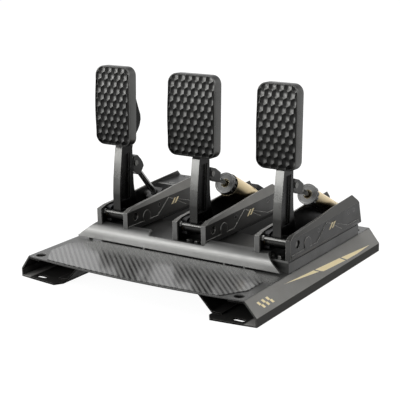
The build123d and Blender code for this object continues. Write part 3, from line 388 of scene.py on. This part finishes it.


# Below, shades are painted shade, front colours a painted highlight, edge colours wear and a painted
# highlight.
finishes = {
    "deck_paint": dict(colour=(46, 46, 45), rough=0.3, edge=(120, 120, 117), vary=0.12, specular=0.5),
    # Rails: colour written lighter than the paint; low sides, undersides, inside faces and feet darker:
    # painted shade.
    "rail_paint": dict(
        colour=(142, 141, 138),
        rough=0.5,
        edge=(165, 164, 160),
        vary=0.06,
        specular=0.02,
        shades=(
            ("Normal", "Z", 0.4, 0.15, 0.3),
            ("Normal", "Z", 0.0, -0.3, 0.3),
            ("Object", "side", 0.1975, 0.1945, 0.08),
        ),
    ),
    # Heel bar: colour written lighter than the paint; faces turning up, the top, and the right darker:
    # painted shade.
    "heel_paint": dict(
        colour=(158, 158, 156),
        rough=0.38,
        metal=0.7,
        edge=(160, 160, 158),
        vary=0.05,
        edge_share=0.3,
        shades=(
            ("Normal", "Z", 0.1, 0.5, 0.42),
            ("Normal", "Z", 0.55, 0.95, 0.45),
            ("Object", "X", -0.08, 0.18, 0.7),
        ),
    ),
    "platform_paint": dict(colour=(30, 30, 29), rough=0.36, specular=0.4),
    # Brackets: driver-facing edges lighter, partly bare cut metal and partly a painted highlight; sides
    # and low parts darker: painted shade.
    "bracket_paint": dict(
        colour=(24, 24, 24),
        rough=0.34,
        edge=(120, 120, 118),
        specular=0.2,
        front=(150, 150, 148),
        shades=(("Normal", "side", 0.6, 0.9, 0.35), ("Object", "Z", 0.085, 0.06, 0.45)),
    ),
    # Covers: colour written lighter than the paint; near-white front is a painted highlight; flat
    # sides, front, right end and bottom darker: painted shade.
    "cover_paint": dict(
        colour=(112, 111, 108),
        rough=0.36,
        edge=(196, 195, 190),
        edge_share=0.8,
        radius=0.0008,
        vary=0.1,
        specular=0.22,
        front=(255, 255, 252),
        shades=(
            ("Normal", "Z", 0.1, 0.04, 0.26),
            ("Object", "Y", 0.0, -0.07, 0.5),
            ("Object", "X", 0.15, 0.19, 0.4),
            ("Object", "Z", 0.078, 0.056, 0.45),
        ),
    ),
    # Arms: the driver-facing face is a painted highlight; darker towards the bottom and on the sides:
    # painted shade.
    "arm_metal": dict(
        colour=(30, 30, 30),
        rough=0.3,
        metal=0.9,
        edge=(60, 60, 59),
        edge_share=0.3,
        front=(114, 114, 112),
        shades=(("Object", "Z", 0.18, 0.112, 0.17), ("Normal", "side", 0.5, 0.9, 0.3)),
    ),
    # Pad rest: faces looking up and faces looking down darker: painted shade.
    "pad_metal": dict(
        colour=(84, 84, 83),
        rough=0.3,
        metal=0.9,
        edge=(96, 96, 94),
        edge_share=0.3,
        grain=1900.0,
        radius=0.0004,
        shades=(("Normal", "Z", 0.5, 0.8, 0.2), ("Normal", "Z", -0.3, -0.6, 0.1)),
    ),
    # Dishes: a lighter copy of the pad metal; walls facing right and down, and the lower pad, darker:
    # painted light and shade.
    "pad_dishes": dict(
        colour=(124, 124, 122),
        rough=0.42,
        metal=0.3,
        edge=(60, 60, 59),
        edge_share=0.3,
        grain=1900.0,
        radius=0.0003,
        shades=(
            ("Normal", "X", 0.0, 0.3, 0.1),
            ("Normal", "Z", 0.08, -0.24, 0.22),
            ("Object", "Z", 0.3, 0.2, 0.3),
        ),
    ),
    # Webs: a darker copy of the pad metal, painted shade between the dishes.
    "pad_webs": dict(
        colour=(40, 40, 39),
        rough=0.34,
        metal=0.9,
        edge=(60, 60, 59),
        edge_share=0.2,
        grain=1900.0,
        radius=0.0003,
    ),
    "fork_metal": dict(colour=(50, 50, 49), rough=0.34, metal=0.7, edge=(130, 130, 128)),
    "block_metal": dict(colour=(60, 60, 60), rough=0.4, metal=0.6),
    "shaft_steel": dict(colour=(90, 90, 88), rough=0.3, metal=0.95, stretch=(1, 6, 6)),
    "rod_chrome": dict(colour=(190, 190, 188), rough=0.12, metal=1.0, vary=0.05, dent=0.00001),
    "rod_dark": dict(colour=(150, 150, 149), rough=0.16, metal=1.0, vary=0.1, dent=0.00001),
    # Knob: the round sides darker, painted shade; the lighter edges are wear and a painted highlight.
    "knob_metal": dict(
        colour=(92, 92, 91),
        rough=0.32,
        metal=0.7,
        edge=(190, 190, 188),
        edge_share=0.8,
        radius=0.0008,
        shades=(("Normal", "Y", -0.72, -0.6, 0.2),),
    ),
    # Gold: darker as faces turn downwards, and near black where they face the driver inside the knob:
    # painted shade.
    "gold_anodised": dict(
        colour=(232, 210, 164),
        rough=0.3,
        metal=1.0,
        edge=(250, 238, 205),
        vary=0.05,
        shades=(
            ("Normal", "Z", 0.7, -0.2, 0.22),
            ("Normal", "Z", -0.2, -0.8, 0.4),
            ("Normal", "Y", -0.55, -0.7, 0.05),
        ),
    ),
    "cap_black": dict(colour=(34, 34, 34), rough=0.36, edge=(100, 100, 98)),
    "spring_steel": dict(colour=(150, 150, 148), rough=0.3, metal=1.0),
    "bush_brass": dict(colour=(110, 94, 62), rough=0.4, metal=0.8),
    "sensor_plastic": dict(colour=(28, 28, 29), rough=0.5),
    "box_plastic": dict(colour=(30, 30, 31), rough=0.5),
    "board_green": dict(colour=(26, 74, 50), rough=0.45),
    "socket_metal": dict(colour=(180, 180, 178), rough=0.25, metal=1.0),
    "black_screws": dict(colour=(34, 34, 34), rough=0.3, metal=0.4, edge=(130, 130, 128)),
    "bright_screws": dict(colour=(104, 104, 102), rough=0.3, metal=0.9),
}


def make_materials():
    """Every finish by the name of its slot."""
    made = {name: finish(name, **look) for name, look in finishes.items()}
    made["grip_sheet"] = carbon_weave("grip_sheet")
    return made


def dress_nodes(materials):
    """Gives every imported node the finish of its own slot."""
    slot_of = {p["node"]: p["material_slot"] for p in frame["record"]["subparts"]}
    for name, node in nodes.items():
        node.data.materials.clear()
        node.data.materials.append(materials[slot_of[name]])


# Meshes

sharp_angle = radians(35.0)


def mesh_object(name, verts, faces, material, body, others=()):
    """A piece from points in metres, shaded smooth but for its sharp edges.

    others are further materials, each with the number of the first face that it covers.
    """
    mesh = bpy.data.meshes.new(name)
    mesh.from_pydata(verts, [], faces)
    mesh.materials.append(material)
    for place, (other, first) in enumerate(others):
        mesh.materials.append(other)
        for face in mesh.polygons[first:]:
            face.material_index = place + 1
    bm = bmesh.new()
    bm.from_mesh(mesh)
    bmesh.ops.remove_doubles(bm, verts=bm.verts, dist=1e-6)
    bmesh.ops.recalc_face_normals(bm, faces=bm.faces)
    for face in bm.faces:
        face.smooth = True
    for edge in bm.edges:
        if len(edge.link_faces) != 2 or edge.calc_face_angle(0) > sharp_angle:
            edge.smooth = False
    bm.to_mesh(mesh)
    bm.free()
    made = bpy.data.objects.new(name, mesh)
    scene.collection.objects.link(made)
    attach(made, body)
    return made


corner_steps = 8


def rounded_outline(x0, x1, z0, z1, radius):
    """Points round a rectangle with rounded corners, anticlockwise."""
    points = []
    corners = ((x1, z1, 0), (x0, z1, 90), (x0, z0, 180), (x1, z0, 270))
    for cx, cz, start in corners:
        mx = cx - radius if start in (0, 270) else cx + radius
        mz = cz - radius if start in (0, 90) else cz + radius
        for i in range(corner_steps + 1):
            a = radians(start + 90 * i / corner_steps)
            points.append((mx + radius * cos(a), mz + radius * sin(a)))
    return points


def clip_convex(polygon, outline):
    """The part of a convex polygon that lies inside a convex anticlockwise outline."""
    kept = polygon
    for (ax, az), (bx, bz) in zip(outline, outline[1:] + outline[:1]):
        made = []
        for (px, pz), (qx, qz) in zip(kept, kept[1:] + kept[:1]):
            dp = (bx - ax) * (pz - az) - (bz - az) * (px - ax)
            dq = (bx - ax) * (qz - az) - (bz - az) * (qx - ax)
            if dp >= 0:
                made.append((px, pz))
            if (dp > 0) != (dq > 0) and dp != dq:
                t = dp / (dp - dq)
                made.append((px + (qx - px) * t, pz + (qz - pz) * t))
        kept = made
        if len(kept) < 3:
            return []
    return kept


def polygon_area(polygon):
    pairs = zip(polygon, polygon[1:] + polygon[:1])
    return abs(sum(px * qz - qx * pz for (px, pz), (qx, qz) in pairs)) / 2


# Pads: a crowned face with rows of six-sided dishes, a skirt, and a boss for the head plate

pad_height = 126.0
pad_depth = 15.5
pad_bulge = 5.8
pad_edge = 1.2
pad_corner = 14.0
pad_wall = 4.0
pad_face = 5.0
pad_widths = {"clutch": 67.5, "brake": 86.0, "throttle": 67.5}
pad_foot = (151.5 - y_shift, 191.3)
pad_lean = radians(2.2)
pad_lifts = {"clutch": 3.4, "brake": 1.2, "throttle": -1.1}
cell_pitch = 12.45
cell_flat = 11.8
cell_depth = 3.9
cell_rings = (1.0, 0.95, 0.7, 0.42)
cell_fall = 0.86
cell_least_area = 9
cell_split = 2.5
cell_rim = 0.7
cell_rim_corner = 2
cell_drop = 4.6
cell_start = {"clutch": 6.6, "brake": 6.5, "throttle": 6.6}
pad_back_bevel = 0.5
boss_half, boss_low, boss_high = 17.0, 12.0, 104.0


def crown(z):
    """How far in front of its back plane the pad's face lies at a height."""
    radius = ((pad_height / 2) ** 2 + pad_bulge**2) / (2 * pad_bulge)
    return pad_depth + pad_bulge - radius + sqrt(radius**2 - (z - pad_height / 2) ** 2)


def pad_outline(width, inset, corner):
    """A pad's outline drawn in by an inset."""
    return rounded_outline(-width / 2 + inset, width / 2 - inset, inset, pad_height - inset, corner)


def pad_cells(name, width, outline):
    """Clipped six-sided cells over a pad's face, each with its own centre."""
    cells = []
    row_step = cell_pitch * sqrt(3) / 2
    corner = cell_flat / sqrt(3)
    rows = int(pad_height / row_step) + 3
    columns = int(width / cell_pitch) + 3
    for row in range(-1, rows):
        z = pad_height - cell_drop - row * row_step
        offset = cell_start[name] + (0 if row % 2 else cell_pitch / 2)
        for column in range(-2, columns):
            x = -width / 2 + offset + column * cell_pitch
            hexagon = [
                (x + corner * sin(radians(60 * i)), z - corner * cos(radians(60 * i))) for i in range(6)
            ]
            cell = clip_convex(hexagon, outline)
            if cell and polygon_area(cell) > cell_least_area:
                cells.append(((x, z), cell))
    return cells


def dish(x, z, centre):
    """Depth of a dish at a point, from the place of the point in the cell."""
    r = hypot(x - centre[0], z - centre[1]) / (cell_flat / sqrt(3))
    return cell_depth * (1 - cell_fall * min(1, r) ** 2)


def pad_front(name, width):
    """The face as points (x, z, depth into the face) and triangles, and its outline."""
    outline = pad_outline(width, pad_edge, pad_corner - pad_edge)
    rim = pad_outline(width, pad_edge + cell_rim, pad_corner - cell_rim_corner)
    points = list(outline)
    depths = [0.0] * len(points)
    loops = [list(range(len(points)))]
    for centre, cell in pad_cells(name, width, rim):
        mid = (sum(p[0] for p in cell) / len(cell), sum(p[1] for p in cell) / len(cell))
        dense = []
        for (px, pz), (qx, qz) in zip(cell, cell[1:] + cell[:1]):
            dense.append((px, pz))
            if hypot(qx - px, qz - pz) > cell_split:
                dense.append(((px + qx) / 2, (pz + qz) / 2))
        for share in cell_rings:
            loop = []
            for px, pz in dense:
                x, z = mid[0] + (px - mid[0]) * share, mid[1] + (pz - mid[1]) * share
                loop.append(len(points))
                points.append((x, z))
                depths.append(0.0 if share == 1.0 else dish(x, z, centre))
            loops.append(loop)
        points.append(mid)
        depths.append(dish(*mid, centre))
    edges = [(a, b) for loop in loops for a, b in zip(loop, loop[1:] + loop[:1])]
    flat = [Vector(p) for p in points]
    verts, _, faces, source, _, _ = delaunay_2d_cdt(flat, edges, [loops[0]], 1, 1e-5)
    made = []
    for vert, ids in zip(verts, source):
        made.append((vert.x, vert.y, depths[ids[0]] if ids else 0.0))
    return made, [tuple(f) for f in faces], outline


def pad_to_part(name, x, depth, z):
    """From a pad's own millimetres (right, in front of its back plane, up) to the part's metres."""
    up = (sin(pad_lean), cos(pad_lean))
    z += pad_lifts[name]
    return (
        (unit_x[name] + x) * mm,
        (pad_foot[0] + z * up[0] - depth * up[1]) * mm,
        (pad_foot[1] + z * up[1] + depth * up[0]) * mm,
    )


def add_pad(name, materials):
    """The pad with its dishes, in place of the plain solid: dishes, webs, then the rest."""
    width = pad_widths[name]
    face, triangles, outline = pad_front(name, width)
    triangles.sort(key=lambda corners: all(face[i][2] == 0 for i in corners))
    dishes = sum(any(face[i][2] for i in corners) for corners in triangles)
    verts = [pad_to_part(name, x, crown(z) - depth, z) for x, z, depth in face]
    faces = list(triangles)
    loops = []

    def loop(points, depth_of):
        start = len(verts)
        verts.extend(pad_to_part(name, x, depth_of(z), z) for x, z in points)
        loops.append(list(range(start, start + len(points))))

    loop(outline, crown)
    for turn in (30, 60, 90):
        inset = pad_edge * (1 - sin(radians(turn)))
        drop = pad_edge * (1 - cos(radians(turn)))
        shape = pad_outline(width, inset, pad_corner - inset)
        loop(shape, lambda z, drop=drop: crown(z) - drop)
    loop(pad_outline(width, 0, pad_corner), lambda z: pad_back_bevel)
    loop(pad_outline(width, pad_back_bevel, pad_corner - pad_back_bevel), lambda z: 0.0)
    inner = pad_outline(width, pad_wall, pad_corner - pad_wall)
    loop(inner, lambda z: 0.0)
    loop(inner, lambda z: pad_depth - pad_face)
    for a, b in zip(loops, loops[1:]):
        count = len(a)
        for i in range(count):
            j = (i + 1) % count
            faces.append((a[i], a[j], b[j], b[i]))
    half, low, high = boss_half, boss_low, boss_high
    boss = len(verts)
    floor = pad_depth - pad_face
    corners = ((-half, low), (half, low), (half, high), (-half, high))
    for depth in (floor, 0.0):
        verts.extend(pad_to_part(name, x, depth, z) for x, z in corners)
    for i in range(4):
        j = (i + 1) % 4
        faces.append((boss + i, boss + j, boss + 4 + j, boss + 4 + i))
    faces.append(tuple(boss + 4 + i for i in range(4)))
    flat = [Vector(p) for p in (*inner, *corners)]
    count = len(inner)
    edges = [(i, (i + 1) % count) for i in range(count)]
    edges += [(count + i, count + (i + 1) % 4) for i in range(4)]
    spread, _, cells, source, _, _ = delaunay_2d_cdt(flat, edges, [], 1, 1e-5)
    lookup = []
    for vert, ids in zip(spread, source):
        first = ids[0]
        lookup.append(loops[-1][first] if first < count else boss + first - count)
    for cell in cells:
        cx = sum(spread[i].x for i in cell) / len(cell)
        cz = sum(spread[i].y for i in cell) / len(cell)
        if not (-half < cx < half and low < cz < high):
            faces.append(tuple(lookup[i] for i in cell))
    made = mesh_object(
        f"{name}_pad_dimpled",
        verts,
        faces,
        materials["pad_dishes"],
        f"{name}_pedal",
        others=((materials["pad_webs"], dishes), (materials["pad_metal"], len(triangles))),
    )
    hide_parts(f"{name}_pad")


# Painted marks: thin plates on both rails' slopes and on the covers

mark_lift, mark_sink = 0.12, -0.3
front_bow = 12.5
slope_run, slope_rise = 18.8, 24.0
slope_top = Vector((196.2, 0, 37.5))
slope_low = Vector((215.0, 0, 13.5))
stripe = (
    [(116, 8.5), (203, 13.2), (215, 19.6)],
    [(208, 13.4), (286, 17.6), (298, 25.6), (226, 22.4), (219, 19.8)],
    [(291, 17.9), (389, 24.6), (340, 26.4), (303, 25.8)],
)
check_size, check_gap, check_lean = 5.6, 0.5, 3.0
check_start = (34, 11)
check_count = 6
cover_face = 31.5
bar_place = (248, 76.0)
bar_width, bar_height, bar_step, bar_lean = 5.0, 9.0, 9.0, 9.0


def add_marks(name, outlines, corner, right, up, out, material, slot):
    """Flat marks, each outline in millimetres along two directions from a corner."""
    verts, faces = [], []
    for outline in outlines:
        start = len(verts)
        count = len(outline)
        for height in (mark_lift, mark_sink):
            for a, b in outline:
                place = Vector(corner) + Vector(right) * a + Vector(up) * b + Vector(out) * height
                verts.append(tuple(place * mm))
        faces.append(tuple(range(start, start + count)))
        faces.append(tuple(range(start + 2 * count - 1, start + count - 1, -1)))
        for i in range(count):
            j = (i + 1) % count
            faces.append((start + i, start + count + i, start + count + j, start + j))
    mesh_object(name, verts, faces, material, "base")


def quad(a0, b0, a1, b1, lean):
    """A slanted four-sided mark."""
    return [(a0, b0), (a1, b0), (a1 + lean, b1), (a0 + lean, b1)]


def add_rail_marks(material):
    """A long tapered stripe and a small block of checks on each rail's slope."""
    marks = list(stripe)
    for column in range(check_count):
        a = check_start[0] + column * (check_size + check_gap)
        b = check_start[1] + column % 2 * (check_size + check_gap)
        marks.append(quad(a, b, a + check_size, b + check_size, check_lean))
    for side, label in ((-1, "left"), (1, "right")):
        fall = slope_low - slope_top
        fall = Vector((fall.x * side, 0, fall.z)).normalized()
        out = Vector((slope_rise * side, 0, slope_run)).normalized()
        corner = (slope_top.x * side, -y_shift - front_bow, slope_top.z)
        ways = ((0, 1, 0), tuple(fall), tuple(out))
        add_marks(f"rail_marks_{label}", marks, corner, *ways, material, "rail_paint")


def add_cover_marks(material):
    """Two short slanted bars on each cover's facet."""
    marks = [quad(a, 0, a + bar_width, bar_height, bar_lean) for a in (0, bar_step)]
    for pedal, x in unit_x.items():
        for side, label in ((-1, "left"), (1, "right")):
            add_marks(
                f"{pedal}_cover_marks_{label}",
                marks,
                (x + side * cover_face, bar_place[0] - y_shift, bar_place[1]),
                (0, 1, 0),
                (0, 0, 1),
                (side, 0, 0),
                material,
                "cover_paint",
            )


add_camera()
add_world()
for lamp in lamps:
    add_light(*lamp)
add_floor()
materials = make_materials()
dress_nodes(materials)
gold_ink = finish("gold_ink", (255, 236, 190), 0.5, vary=0.03, dent=0.00002)
for pedal in unit_x:
    add_pad(pedal, materials)
add_rail_marks(gold_ink)
add_cover_marks(gold_ink)
